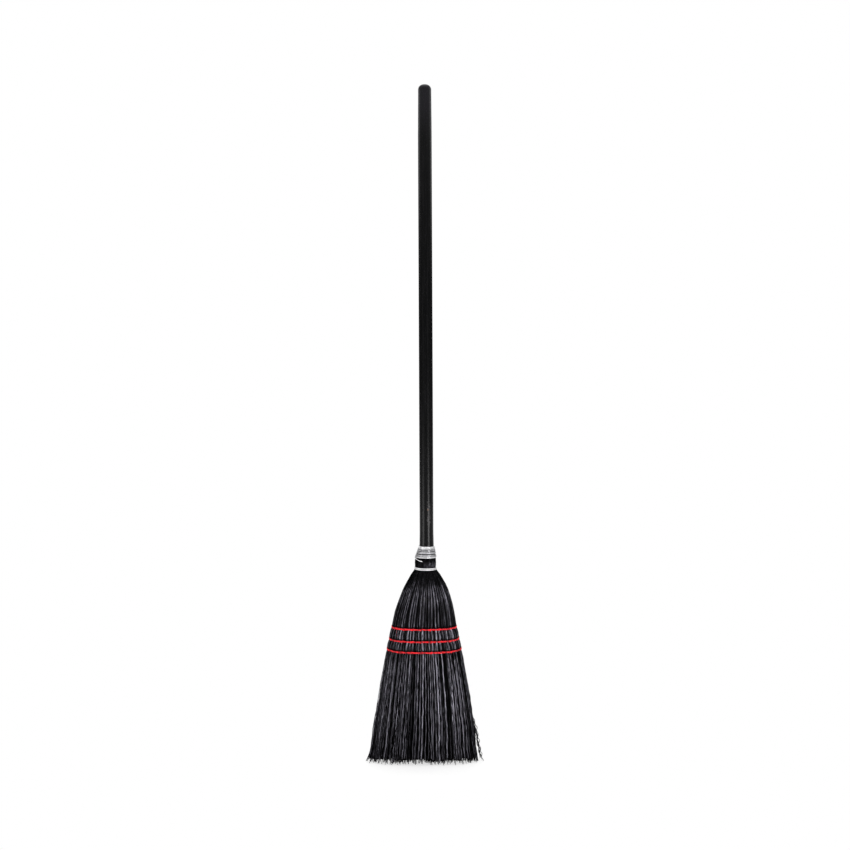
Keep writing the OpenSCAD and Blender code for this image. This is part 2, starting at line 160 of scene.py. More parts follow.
knock.tint(scuff.tint(black, LACQUER_SCUFFED), BARE_WOOD).into(shader, "Base Color")
(0.2 + 0.1 * grain + 0.25 * pores + 0.3 * knock + 0.15 * scuff).into(shader, "Roughness")
(0.5 * grain - 0.8 * pores - 0.6 * knock).bump(0.2, 0.0003).into(shader, "Normal")
dress(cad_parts["handle"], lacquer)

# Wire tack: a small flat-headed steel nail, driven into the back of the handle, where it pins the
# last turn of wire.
TACK_DARK = (0.42, 0.42, 0.43, 1)
TACK_LIGHT = (0.62, 0.62, 0.63, 1)

tack_steel, shader, place = new_finish("tack_steel", Metallic=1.0)
place.noise(1500).tint(TACK_DARK, TACK_LIGHT).into(shader, "Base Color")
(0.3 + 0.2 * place.noise(4000, 2)).into(shader, "Roughness")
dress(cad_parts["wire_tack"], tack_steel)

# Core bristles: the inner bundle of black plastic fibre. Its butts are bound round the handle's
# tapered end, and the fibres close under the tip and run straight to the floor.
MM = 0.001
SECTION_POWER = 2.4
CORE_SHARE = 0.52
FIBRE_PITCH = 1.32
FIBRE_JITTER = 0.28
# Heights on the head, with its half width, its half thickness and how far its middle lies to the side
HEAD_HEIGHT = (0, 30, 52, 108, 158, 190, 209, 226, 240, 254, 262, 267.5, 271, 279.5, 287, 300)
HEAD_HALF_WIDTH = (77.3, 72.6, 70.5, 61.9, 52.8, 46, 42.3, 38, 33.1, 26, 21.4, 17.2, 14.3, 15, 14.5, 14.5)
HEAD_HALF_DEPTH = (21.5, 22.4, 23, 24.3, 25.2, 25.6, 25.8, 25, 23.4, 20, 17.4, 15.4, 14.3, 15, 14.5, 14.5)
HEAD_MIDDLE = (-5.9, -5.6, -4.6, -4.1, -4, -3.9, -3.3, -2.2, -1.6, -1.3, -1.5, -1.7, -1.7, -1.7, -1.6, 0)
SEWN_ROWS = (190, 173, 158)
BULGES = (181, 165)
STITCH_SHARE = 0.267
SKIRT_TOP = 150
HANDLE_TIP = 215
HANDLE_TIP_RADIUS = 5
HANDLE_NECK = 300
HANDLE_NECK_RADIUS = 10.2
# The share of the section beyond which a fibre can be seen, and the shares over which tufts take hold
SURFACE_SHARE = 0.82
TUFT_HOLD = (0.72, 0.9)
# The rows of twine pinch the head and gather its fibres, and it swells between them
ROW_PINCH = 1.1
ROW_REACH = 3.2
STITCH_GATHER = 0.45
GATHER_WIDTH = 0.8
BULGE_SWELL = 0.7
BULGE_REACH = 5
SIDE_SWELL = 0.6
# The tufts: steps between them round the outline at the floor, in the skirt and for the painted light
# streaks of the crown, and how far their fibres are drawn together by height
TUFT_STEP = (3, 6)
CROWN_STEP = (4.4, 8.6)
DRAW_HEIGHT = (0, 20, 60, 140, 156, 192, 205, 240, 262, 270)
DRAW_SHARE = (0.35, 0.5, 0.62, 0.5, 0.2, 0.2, 0.35, 0.45, 0.3, 0)
# How far the fibres between two tufts sink, and where along their length they do
SINK_DEPTH = 1.5
SINK_HEIGHT = (0, 60, 140, 156, 192, 205, 240, 264)
SINK_SHARE = (0.8, 1, 0.9, 0.35, 0.35, 0.7, 0.7, 0)
# How strong a tuft's painted highlight is, how unevenly it is trimmed, and the lengths of its waves and of
# its fibres' crimp
TUFT_SHADE = (0.6, 0.88)
TUFT_TRIM = 2.1
TUFT_WAVE = (40, 75)
TUFT_CRIMP = (13, 24)
# Below the sewing the tufts wave and lean, the fibres crimp and spread, and a few go further astray
WAVE_SIZE = 0.5
CRIMP_SIZE = (0.14, 0.38)
CRIMP_PHASE = 0.5
LEAN_SIZE = 0.7
SPREAD_ACROSS = 0.3
SPREAD_THROUGH = 0.45
ASTRAY_SHARE = 0.04
ASTRAY_SIZE = 2.6
# At the head's left end some tips turn out
LEFT_END = -0.92
LEFT_TIP_SHARE = 0.4
LEFT_TIP_SIZE = (1, 6)
# The trimmed foot: its level, how far it is rounded at front and back, and the tips that reach lower
TRIM_LEVEL = 5
TRIM_UNEVEN = 0.5
FOOT_ROUNDING = 5.2
LONG_TIP_SHARE = 0.13
LONG_TIP_LEVEL = (-5, 1)
LOWEST_TIP = 0.4
# Radius of a fibre by height
FIBRE_HEIGHT = (0, 4, 12, 40, 158, 206, 252, 268, 300)
FIBRE_RADIUS = (0.4, 0.46, 0.5, 0.52, 0.45, 0.42, 0.33, 0.22, 0.2)
PROFILE_SIDES = 3
CAP_MERGE = 0.0000003


def half_width(z):
    return np.interp(z, HEAD_HEIGHT, HEAD_HALF_WIDTH)


def half_depth(z):
    return np.interp(z, HEAD_HEIGHT, HEAD_HALF_DEPTH)


def head_middle(z):
    return np.interp(z, HEAD_HEIGHT, HEAD_MIDDLE)


def handle_radius(z):
    return np.interp(z, (HANDLE_TIP, HANDLE_NECK), (HANDLE_TIP_RADIUS, HANDLE_NECK_RADIUS))


def ease(low, high, value):
    t = np.clip((value - low) / (high - low), 0, 1)
    return t * t * (3 - 2 * t)


def hump(value, middle, reach):
    return np.exp(-((value - middle) / reach) ** 2)


def fibre_places():
    """Places on a loose hexagonal lattice, as shares of the head's half width and half depth"""
    rng = np.random.default_rng(31)
    across = np.arange(-HEAD_HALF_WIDTH[0], HEAD_HALF_WIDTH[0], FIBRE_PITCH)
    through = np.arange(-HEAD_HALF_DEPTH[0], HEAD_HALF_DEPTH[0], FIBRE_PITCH * math.sin(math.pi / 3))
    x, y = np.meshgrid(across, through)
    x[1::2] += FIBRE_PITCH / 2
    x = x + rng.normal(0, FIBRE_JITTER * FIBRE_PITCH, x.shape)
    y = y + rng.normal(0, FIBRE_JITTER * FIBRE_PITCH, y.shape)
    u = (x / HEAD_HALF_WIDTH[0]).ravel()
    w = (y / HEAD_HALF_DEPTH[0]).ravel()
    share = (np.abs(u) ** SECTION_POWER + np.abs(w) ** SECTION_POWER) ** (1 / SECTION_POWER)
    kept = share < 1
    return u[kept], w[kept], share[kept]


def tuft_seats(step, rng):
    """Seats of the tufts, at uneven steps round the head's outline"""
    turn = np.radians(np.arange(0, 360.1, 0.25))
    power = 2 / SECTION_POWER
    u = np.copysign(np.abs(np.cos(turn)) ** power, np.cos(turn))
    w = np.copysign(np.abs(np.sin(turn)) ** power, np.sin(turn))
    steps = np.hypot(np.diff(u) * HEAD_HALF_WIDTH[0], np.diff(w) * HEAD_HALF_DEPTH[0])
    along = np.concatenate([[0], np.cumsum(steps)])
    places = np.cumsum(rng.uniform(*step, 240))
    places = places[places < along[-1]]
    return np.interp(places, along, u), np.interp(places, along, w)


fibre_u, fibre_w, fibre_share = fibre_places()
fibre_angle = np.degrees(np.arctan2(fibre_w, fibre_u)) % 360
fibre_surface = ease(*TUFT_HOLD, fibre_share)


def gathered(seat_u, seat_w):
    """The tuft nearest to each fibre, and the fibre's ridge, which is 1 on a tuft and 0 between two"""
    reach = np.maximum(fibre_share, 0.05)
    gap = np.hypot(((fibre_u / reach)[:, None] - seat_u) * HEAD_HALF_WIDTH[0],
                   ((fibre_w / reach)[:, None] - seat_w) * HEAD_HALF_DEPTH[0])
    near, following = np.sort(gap, axis=1)[:, :2].T
    return gap.argmin(axis=1), (following - near) / (following + near)


tuft_rng = np.random.default_rng(47)
seat_u, seat_w = tuft_seats(TUFT_STEP, tuft_rng)
fibre_tuft, fibre_ridge = gathered(seat_u, seat_w)
crown_tuft, crown_ridge = gathered(*tuft_seats(CROWN_STEP, tuft_rng))
tuft_shade = tuft_rng.uniform(*TUFT_SHADE, len(seat_u))
tuft_lean = tuft_rng.normal(0, 1, len(seat_u))
tuft_trim = tuft_rng.normal(0, TUFT_TRIM, len(seat_u))
tuft_phase = tuft_rng.uniform(0, 2 * math.pi, len(seat_u))
tuft_wave = tuft_rng.uniform(*TUFT_WAVE, len(seat_u))
tuft_crimp = tuft_rng.uniform(*TUFT_CRIMP, len(seat_u))
# A few fibres at the right end have come loose and stand off from the others near the floor
STRAY_END = 0.95
STRAY_MIDDLE = 0.4
STRAY_SHARE = 0.16
STRAY_HEIGHT = (0, 10, 22, 30, 37, 44, 52, 58, 72)
STRAY_OFFSET = (7.8, 7.4, 6.6, 6, 5.4, 4.6, 3.4, 2.2, 0)
STRAY_SPREAD = (0.8, 1.1)
STRAY_CURL_RISE = 9.5
STRAY_CURL_SIZE = 0.8
fibre_stray = (fibre_u > STRAY_END) & (np.abs(fibre_w) < STRAY_MIDDLE)
fibre_stray = fibre_stray & (tuft_rng.random(len(fibre_u)) < STRAY_SHARE)


def outward(u, w):
    """The direction straight out of the head's section at each fibre"""
    x = np.sign(u) * np.abs(u) ** (SECTION_POWER - 1) / HEAD_HALF_WIDTH[0]
    y = np.sign(w) * np.abs(w) ** (SECTION_POWER - 1) / HEAD_HALF_DEPTH[0]
    length = np.hypot(x, y) + 1e-9
    return (x / length)[:, None], (y / length)[:, None]


def drawn(members, heights):
    """Places of the fibres as shares of the section, where those at the surface are drawn into tufts"""
    tuft, share = fibre_tuft[members], fibre_share[members][:, None]
    pull = np.interp(heights, DRAW_HEIGHT, DRAW_SHARE) * fibre_surface[members][:, None]
    u, w = fibre_u[members][:, None], fibre_w[members][:, None]
    u = u + pull * (seat_u[tuft][:, None] * share - u)
    w = w + pull * (seat_w[tuft][:, None] * share - w)
    return u, w


def fanned(members, heights):
    """Places of the fibres in the sewn and fanned head, in millimetres"""
    u, w = drawn(members, heights)
    row_pull = sum(hump(heights, row, ROW_REACH) for row in SEWN_ROWS)
    swell = BULGE_SWELL * sum(hump(heights, z, BULGE_REACH) for z in BULGES) - ROW_PINCH * row_pull
    gather = STITCH_GATHER * row_pull * np.sin(2 * math.pi * u / STITCH_SHARE) * (np.abs(u) < GATHER_WIDTH)
    x = head_middle(heights) + (half_width(heights) + SIDE_SWELL * swell) * u + gather
    y = (half_depth(heights) + swell) * w
    return x, y


def loosened(x, y, heights, members, rng):
    """Fibres between tufts sink, and below the sewing all of them wave, crimp and spread, and some stray"""
    u, w, tuft = fibre_u[members], fibre_w[members], fibre_tuft[members]
    count = len(u)
    free = np.clip((SKIRT_TOP - heights) / SKIRT_TOP, 0, 1)
    out_x, out_y = outward(u, w)
    depth = SINK_DEPTH * ((1 - fibre_ridge[members]) * fibre_surface[members])[:, None]
    sink = depth * np.interp(heights, SINK_HEIGHT, SINK_SHARE)
    wave = np.sin(2 * math.pi * heights / tuft_wave[tuft][:, None] + tuft_phase[tuft][:, None])
    phase = tuft_phase[tuft][:, None] + rng.normal(0, CRIMP_PHASE, (count, 1))
    turns = 2 * math.pi * heights / tuft_crimp[tuft][:, None] + phase
    crimp = rng.uniform(*CRIMP_SIZE, (count, 1)) * np.sqrt(free)
    x += WAVE_SIZE * wave * free ** 0.7 + crimp * np.sin(turns) - sink * out_x
    y += crimp * np.cos(turns) - sink * out_y
    x += free * (LEAN_SIZE * tuft_lean[tuft][:, None] + rng.normal(0, SPREAD_ACROSS, (count, 1)))
    y += free * rng.normal(0, SPREAD_THROUGH, (count, 1))
    x += (rng.random((count, 1)) < ASTRAY_SHARE) * rng.normal(0, ASTRAY_SIZE, (count, 1)) * free ** 2
    left_tip = (u[:, None] < LEFT_END) & (rng.random((count, 1)) < LEFT_TIP_SHARE)
    x -= left_tip * rng.uniform(*LEFT_TIP_SIZE, (count, 1)) * free ** 12
    stray = fibre_stray[members][:, None]
    loose = np.interp(heights, STRAY_HEIGHT, STRAY_OFFSET)
    curl = 2 * math.pi * heights / STRAY_CURL_RISE + rng.uniform(0, 2 * math.pi, (count, 1))
    curl_size = STRAY_CURL_SIZE * ease(0, 3, loose)
    x += stray * (loose * rng.uniform(*STRAY_SPREAD, (count, 1)) + curl_size * np.sin(curl))
    y += stray * curl_size * np.cos(curl)


def tip_heights(members, rng):
    """The trimmed end is ragged: most tips stop a little above the floor, and some reach lower"""
    w = fibre_w[members]
    rounding = FOOT_ROUNDING * np.abs(w) ** 1.7
    ragged = TRIM_LEVEL + rng.normal(0, TRIM_UNEVEN, len(w)) + tuft_trim[fibre_tuft[members]]
    is_long = rng.random(len(w)) < LONG_TIP_SHARE
    ragged = np.where(is_long, rng.uniform(*LONG_TIP_LEVEL, len(w)), ragged)
    return np.maximum(LOWEST_TIP, rounding + ragged)


def fibre_thickness(heights):
    return np.interp(heights, FIBRE_HEIGHT, FIBRE_RADIUS)


fibre_profile_curve = bpy.data.curves.new("fibre_profile", "CURVE")
corners = fibre_profile_curve.splines.new("POLY")
corners.points.add(PROFILE_SIDES - 1)
for turn, point in enumerate(corners.points):
    angle = turn * math.tau / PROFILE_SIDES
    point.co = (math.cos(angle), math.sin(angle), 0, 1)
corners.use_cyclic_u = True
fibre_profile = bpy.data.objects.new("fibre_profile", fibre_profile_curve)
bpy.context.scene.collection.objects.link(fibre_profile)


def to_mesh(piece):
    bpy.ops.object.select_all(action="DESELECT")
    piece.select_set(True)
    bpy.context.view_layer.objects.active = piece
    bpy.ops.object.convert(target="MESH")
    bpy.ops.object.shade_smooth()
    return bpy.context.view_layer.objects.active


def close_ends():
    """Merge the loose caps that the conversion leaves on the ends of the active piece"""
    bpy.ops.object.mode_set(mode="EDIT")
    bpy.ops.mesh.select_all(action="SELECT")
    bpy.ops.mesh.remove_doubles(threshold=CAP_MERGE)
    bpy.ops.mesh.normals_make_consistent(inside=False)
    bpy.ops.object.mode_set(mode="OBJECT")


def fibre_bundle(name, groups):
    """One mesh of tapered three-sided fibres, each with its own amount of painted highlight"""
    curve = bpy.data.curves.new(name, "CURVE")
    curve.dimensions = "3D"
    curve.twist_mode = "MINIMUM"
    curve.bevel_mode = "OBJECT"
    curve.bevel_object = fibre_profile
    curve.use_fill_caps = True
    cap_shades = []
    tube_shades = []
    for x, y, heights, radii, shades in groups:
        rings = heights.shape[1]
        places = np.stack([x * MM, y * MM, heights * MM, np.ones_like(x)], axis=2)
        for place, radius in zip(places, radii * MM):
            fibre = curve.splines.new("POLY")
            fibre.points.add(rings - 1)
            fibre.points.foreach_set("co", place.ravel())
            fibre.points.foreach_set("radius", radius)
        cap_shades.append(np.repeat(shades, 2 * PROFILE_SIDES, axis=1))
        tube_shades.append(np.repeat(shades, rings * PROFILE_SIDES, axis=1))
    bundle = bpy.data.objects.new(name, curve)
    bpy.context.scene.collection.objects.link(bundle)
    bundle = to_mesh(bundle)
    # A converted curve holds its caps first, from the last fibre to the first, then the fibres in order
    values = np.concatenate([np.concatenate(cap_shades, axis=1)[:, ::-1]] + tube_shades, axis=1)
    for part, shade in zip(("skirt_shade", "crown_shade"), values):
        attribute = bundle.data.attributes.new(part, "FLOAT", "POINT")
        attribute.data.foreach_set("value", shade.astype(np.float32))
    close_ends()
    return bundle


# Painted highlights: ridges at which a tuft's fibres turn from painted shade to painted light in the
# skirt and in the crown, where those beside the lightest ones are dull, and how light they are
SKIRT_RIDGE = (0.6, 0.7)
SKIRT_STRENGTH = 0.91
SKIRT_SPREAD = (0.6, 1.4)
CROWN_RIDGE = (0.45, 0.85)
CROWN_STRENGTH = 1.15
CROWN_SPREAD = (0.7, 1.3)
DULL_RIDGE = (0.08, 0.35)
DULL_SPREAD = (0.05, 0.34)
# Some fibres get a painted glint by themselves, only the outermost ones get painted light, and those at the
# head's ends less
GLINT_SHARE = 0.06
GLINT_SPREAD = (0.2, 0.6)
LIT_SHARE = (0.84, 0.95)
DIM_ENDS = (0.7, 0.95)
DIM_STRENGTH = 0.45
FIBRE_SHADE = (0.0004, 0.0004, 0.0005, 1)
FIBRE_PAINTED_HIGHLIGHT = (0.59, 0.57, 0.67, 1)
# Heights in metres: where the crown's painted streaks take over from the skirt's, where the painted shade
# at the foot ends, where the painted shade under the neck starts, the crown's painted darker and lighter
# part, and the fibres pressed by the rows, which get a painted sheen
CROWN_START = (0.15, 0.175)
FOOT_END = (0, 0.11)
NECK_SHADE = (0.23, 0.257)
CROWN_PAINTED_SHADE = (0.186, 0.192)
CROWN_PAINTED_LIGHT = (0.217, 0.24)
PRESSED_SHEEN_HEIGHT = (0.155, 0.16, 0.188, 0.193)
# A painted sheen at the right of the bound neck, and the painted shade that a row of twine throws above
# itself
NECK_SHEEN_ACROSS = (-0.006, 0)
NECK_SHEEN_HEIGHT = (0.271, 0.274, 0.278, 0.283)
ROW_SHADE = (0.0006, 0.0014, 0.0026, 0.004)


def fibre_shades(members, rng):
    """How much painted highlight each fibre carries in the skirt and in the crown

    The ridge of a tuft gets painted light, the fibres between tufts painted shade, and some a painted
    glint.
    The crown, where the fibres lie close, has fewer streaks for its width than the skirt.
    """
    ridge, tuft = fibre_ridge[members], fibre_tuft[members]
    own = tuft_shade[tuft] * rng.uniform(*SKIRT_SPREAD, len(ridge))
    glint = (rng.random(len(ridge)) < GLINT_SHARE) * rng.uniform(*GLINT_SPREAD, len(ridge))
    at_ends = ease(*DIM_ENDS, np.abs(fibre_u[members]))
    outermost = ease(*LIT_SHARE, fibre_share[members]) * (1 - DIM_STRENGTH * at_ends)
    skirt = (SKIRT_STRENGTH * ease(*SKIRT_RIDGE, ridge) * own + glint) * outermost
    shining = ease(*CROWN_RIDGE, crown_ridge[members]) * rng.uniform(*CROWN_SPREAD, len(ridge))
    dull = rng.uniform(*DULL_SPREAD, len(ridge)) * ease(*DULL_RIDGE, crown_ridge[members])
    bright = CROWN_STRENGTH * shining * tuft_shade[crown_tuft[members]]
    crown = np.maximum(dull, bright + glint) * outermost
    return np.clip(np.stack([skirt, crown]), 0, 1)


bristle, shader, place = new_finish("black_bristle", Specular_IOR_Level=0.03)
skirt = place.node("ShaderNodeAttribute", {"attribute_name": "skirt_shade"}, {}, "Fac")
crown = place.node("ShaderNodeAttribute", {"attribute_name": "crown_shade"}, {}, "Fac")
height = place.axis("Z")
shade = skirt + (crown - skirt) * height.between(*CROWN_START)
# The painted highlights vary in long streaks along the fibres
streak = place.stretched((1, 1, 0.07)).noise(900, 3).between(0.36, 0.64)
# Painted shade: the painted highlights fade towards the floor
foot = 0.42 + 0.58 * height.between(*FOOT_END)
# Painted sheen: a patch at the right of the bound neck is lit up
painted_sheen = place.axis("X").between(*NECK_SHEEN_ACROSS) * height.within(*NECK_SHEEN_HEIGHT)
# Painted shade under the neck, whose upper edge wavers
start = height + 0.05 * place.stretched((1, 1, 0.01)).noise(420, 2) - 0.025
neck = 1 - 0.95 * start.between(*NECK_SHADE) + 0.4 * painted_sheen
# Painted light and shade on the crown: darker just above the top row, lighter higher up on the shoulders
swell = 0.75 - 0.36 * height.between(*CROWN_PAINTED_SHADE) + 0.56 * height.between(*CROWN_PAINTED_LIGHT)
# Painted sheen on the fibres pressed between the rows
pressed_sheen = 1 + 0.2 * height.within(*PRESSED_SHEEN_HEIGHT)
# Painted light and shade: each fibre's black is lit up by its painted highlight, then dimmed by the painted
# shades below
lit = shade * shade * (0.3 + 1.4 * streak) * foot * neck * swell * pressed_sheen
# Painted shade: a dark band just above each row of twine
for row in SEWN_ROWS:
    lit = lit * (1 - 0.85 * (height - row * MM).within(*ROW_SHADE))
lit.tint(FIBRE_SHADE, FIBRE_PAINTED_HIGHLIGHT).into(shader, "Base Color")
(0.4 - 0.1 * shade + 0.12 * streak).into(shader, "Roughness")

# Heights of the rings along a core fibre, the ring of its bound butts, and where it fans out below them
CORE_LEVELS = (245, 232, 218, 203, 188, 172.5, 158, 146, 118, 90, 62, 34, 0)
CORE_RING = 6.9
CORE_RING_DEPTH = 3.3
CORE_FAN_TOP = 236
CORE_FAN_LENGTH = 48

core = fibre_share < CORE_SHARE
core_rng = np.random.default_rng(5)
ring_angle = np.radians(fibre_angle[core])[:, None]
ring_radius = CORE_RING + CORE_RING_DEPTH * (fibre_share[core] / CORE_SHARE)[:, None]
heights = np.tile(np.array(CORE_LEVELS, float), (core.sum(), 1))
heights[:, -1] = tip_heights(core, core_rng)
fan_x, fan_y = fanned(core, heights)
spread = ease(0, 1, (CORE_FAN_TOP - heights) / CORE_FAN_LENGTH)
x = ring_radius * np.cos(ring_angle) * (1 - spread) + fan_x * spread
y = ring_radius * np.sin(ring_angle) * (1 - spread) + fan_y * spread
loosened(x, y, heights, core, core_rng)
core_fibres = (x, y, heights, fibre_thickness(heights), fibre_shades(core, core_rng))
core_bristles = fibre_bundle("core_fibres", [core_fibres])
dress(core_bristles, bristle)
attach(core_bristles, "root")
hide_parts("core_bristles")

# Core wire: the first run of galvanised wire, four turns round the butts of the core. Both ends
# are bent in and pushed into holes in the handle.
WIRE_RADIUS = 0.7
WIRE_TURN = 1.75
ROUND_POINTS = 36
CORE_WIRE_TOP = 242.5
CORE_WIRE_TURNS = 4
CORE_WIRE_SEAT = 10.65 + WIRE_RADIUS
CORE_WIRE_END = 4.5
# How far the bound neck lies to the side of the handle's axis, by height
NECK_HEIGHT = (262, 271, 286, 299, 302)
NECK_SHIFT = (0, -1.7, -1.6, -0.2, 0)
# Bends at the wire's end: angle from the hole, and how far inside the winding the wire still is. The
# winding starts and stops at these angles from a hole.
END_BENDS = ((0, 1.3), (0.5, 0.75), (2, 0.35), (5, 0.1), (9, 0))
START_ANGLE = 18
STOP_ANGLE = 12
# The cone's turns between these heights, in metres, get a painted shade, and all the others a painted
# highlight
WIRE_SHADED_TURNS = (0.2876, 0.2892, 0.2995, 0.301)
WIRE_PAINTED_SHADE = ((0.26, 0.26, 0.27, 1), (0.52, 0.52, 0.54, 1))
WIRE_PAINTED_HIGHLIGHT = ((0.84, 0.84, 0.85, 1), (0.96, 0.96, 0.97, 1))


def wire_piece(name, path, radius, sides):
    """A round wire drawn along a path of points in millimetres"""
    curve = bpy.data.curves.new(name, "CURVE")
    curve.dimensions = "3D"
    curve.twist_mode = "MINIMUM"
    curve.bevel_mode = "ROUND"
    curve.bevel_depth = radius * MM
    curve.bevel_resolution = sides
    curve.use_fill_caps = True
    run = curve.splines.new("POLY")
    run.points.add(len(path) - 1)
    places = np.concatenate([np.asarray(path) * MM, np.ones((len(path), 1))], axis=1)
    run.points.foreach_set("co", places.ravel())
    piece = bpy.data.objects.new(name, curve)
    bpy.context.scene.collection.objects.link(piece)
    piece = to_mesh(piece)
    close_ends()
    return piece


def polar(radius, angle, z):
    middle = np.interp(z, NECK_HEIGHT, NECK_SHIFT)
    return (middle + radius * math.cos(math.radians(angle)), radius * math.sin(math.radians(angle)), z)


def bent_in(seat, depth, angle, z, turn):
    """The wire's end: out of its hole in the handle and round into the winding"""
    bends = [polar(seat - inset, angle + turn * step, z) for step, inset in END_BENDS]
    return [polar(depth, angle, z)] + bends


galvanised, shader, place = new_finish("galvanised_wire", Metallic=1.0)
spangle = place.noise(320, 3)
drawn_lines = place.stretched((0.2, 0.2, 1)).noise(3800, 3)
tarnish = (0.6 * spangle + 0.4 * drawn_lines).between(0.3, 0.7)
# Painted light and shade: the middle turns of the cone are darker, the top and bottom turns and the band
# lighter
painted_sheen = 1 - 0.85 * place.axis("Z").within(*WIRE_SHADED_TURNS)
painted_sheen.tint(tarnish.tint(*WIRE_PAINTED_SHADE), tarnish.tint(*WIRE_PAINTED_HIGHLIGHT)).into(shader, "Base Color")
(0.2 + 0.12 * spangle + 0.06 * drawn_lines + 0.16 * painted_sheen).into(shader, "Roughness")
drawn_lines.bump(0.1, 0.0001).into(shader, "Normal")

core_end = 360 * CORE_WIRE_TURNS
core_wire_foot = CORE_WIRE_TOP - WIRE_TURN * CORE_WIRE_TURNS
core_wire_path = bent_in(CORE_WIRE_SEAT, CORE_WIRE_END, 0, CORE_WIRE_TOP, 1)
for angle in np.arange(START_ANGLE, core_end - STOP_ANGLE, 360 / ROUND_POINTS):
    core_wire_path.append(polar(CORE_WIRE_SEAT, angle, CORE_WIRE_TOP - WIRE_TURN * angle / 360))
core_wire_path += bent_in(CORE_WIRE_SEAT, CORE_WIRE_END, core_end, core_wire_foot, -1)[::-1]
core_wire = wire_piece("core_wire_turns", core_wire_path, WIRE_RADIUS, 2)
dress(core_wire, galvanised)
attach(core_wire, "root")
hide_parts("core_wire")

# Shoulders and covers: four bundles of the same fibre, laid round the core and held by the binding
# wire. Left and right ones make the head's shoulders, the front and back ones its two faces.
NECK_RADIUS = 14.5
CONE_FOOT = 286.5
SHOULDER_ANGLE = 40
# The one pass of binding wire that slants across the neck: its height at the left, how far it drops and
# round what angle, and the angles over which fibres come to lie over it and leave it again
CROSSING_TOP = 286.75
CROSSING_DROP = 13
CROSSING_ANGLE = 226
OVER_START = (248, 262)
OVER_STOP = (335, 352)


def crossing_height(angle):
    """Height of the slanted pass of wire, from the left round the front"""
    return CROSSING_TOP - CROSSING_DROP * (angle - 180) / CROSSING_ANGLE


def over_crossing(angle):
    """Where the fibres lie over that pass, at the right of the front"""
    return ease(*OVER_START, angle) * (1 - ease(*OVER_STOP, angle))


# Heights of the rings along a fibre: those of the sewn and bound part, and how many lie below it. The
# first is worked out, since the butts are trimmed to a cone.
HIDDEN_LEVELS = (0, 281, 276, 270.5, 266, 257, 246, 230, 208, 190, 181, 172.5, 165, 158, 145)
SURFACE_LEVELS = (0, 283, 280, 276, 272, 268, 263, 257, 250, 242, 233, 222, 211, 200, 190, 185.5, 181,
                  176.8, 172.5, 168.8, 165, 161.5, 158, 153, 148)
HIDDEN_SKIRT_RINGS = 5
SURFACE_SKIRT_RINGS = 28
STRAY_SKIRT_RINGS = 76
STRAY_THICKNESS = 1.05
# The ring of butts: its inner and outer radius, how steep its trimmed cone is, and its highest butt
RING_INNER = 8.9
RING_OUTER = NECK_RADIUS - 0.1
BUTT_SLOPE = 3.6
BUTT_DROP = 0.9
BUTT_TOP = 298
OUTER_RING = (12.7, 13.6)
# Above this height the fibres stand clear of the handle, and below the fan's top they leave the ring
NECK_EDGE = 268
HANDLE_CLEARANCE = 0.75
CLEARANCE_SPREAD = 0.1
FAN_TOP = 267
FAN_LENGTH = 60
# Below the binding the fibres lie a little unevenly
BOUND_FOOT = 262
RING_UNEVEN = 0.15
# How far the fibres rise over the slanted pass of wire
CROSSING_LIFT = 1.1
CROSSING_REACH = 3.2


def outer_fibres(members, levels, skirt_rings, rng):
    """Paths, thickness and shades of some fibres, from the ring of butts over the sewing to the floor"""
    share, angle = fibre_share[members], fibre_angle[members]
    filled = (share ** 2 - CORE_SHARE ** 2) / (1 - CORE_SHARE ** 2)
    ring_radius = np.sqrt(RING_INNER ** 2 + filled * (RING_OUTER ** 2 - RING_INNER ** 2))
    upper = np.tile(np.array(levels, float), (len(share), 1))
    upper[:, 0] = np.minimum(CONE_FOOT + (NECK_RADIUS - ring_radius) * BUTT_SLOPE - BUTT_DROP, BUTT_TOP)
    tip = tip_heights(members, rng)[:, None]
    lower = tip + (levels[-1] - tip) * np.linspace(1, 0, skirt_rings + 1)[1:]
    heights = np.concatenate([upper, lower], axis=1)
    flared = ring_radius[:, None] / NECK_RADIUS
    clear = handle_radius(heights) + HANDLE_CLEARANCE + CLEARANCE_SPREAD * filled[:, None]
    flared = np.maximum(flared, np.where(heights > NECK_EDGE, clear, 0) / NECK_RADIUS)
    outermost = ease(*OUTER_RING, ring_radius)[:, None]
    near_crossing = hump(heights, crossing_height(angle)[:, None], CROSSING_REACH)
    lift = CROSSING_LIFT * over_crossing(angle)[:, None] * near_crossing * outermost
    turn = np.radians(angle)[:, None]
    ring_x = head_middle(heights) + (half_width(heights) * flared + lift) * np.cos(turn)
    ring_y = (half_depth(heights) * flared + lift) * np.sin(turn)
    fan_x, fan_y = fanned(members, heights)
    spread = ease(0, 1, (FAN_TOP - heights) / FAN_LENGTH)
    x = ring_x * (1 - spread) + fan_x * spread
    y = ring_y * (1 - spread) + fan_y * spread
    x += rng.normal(0, RING_UNEVEN, x.shape) * (heights < BOUND_FOOT)
    loosened(x, y, heights, members, rng)
    return x, y, heights, fibre_thickness(heights), fibre_shades(members, rng)


def outer_bundle(name, node, members, seed):
    rng = np.random.default_rng(seed)
    shown = members & (fibre_share >= SURFACE_SHARE) & ~fibre_stray
    hidden = members & (fibre_share < SURFACE_SHARE)
    groups = [outer_fibres(shown, SURFACE_LEVELS, SURFACE_SKIRT_RINGS, rng),
              outer_fibres(hidden, HIDDEN_LEVELS, HIDDEN_SKIRT_RINGS, rng)]
    strays = members & fibre_stray
    if np.any(strays):
        x, y, heights, radii, shades = outer_fibres(strays, SURFACE_LEVELS, STRAY_SKIRT_RINGS, rng)
        groups.append((x, y, heights, STRAY_THICKNESS * radii, shades))
    bundle = fibre_bundle(name, groups)
    dress(bundle, bristle)
    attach(bundle, "root")
    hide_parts(node)


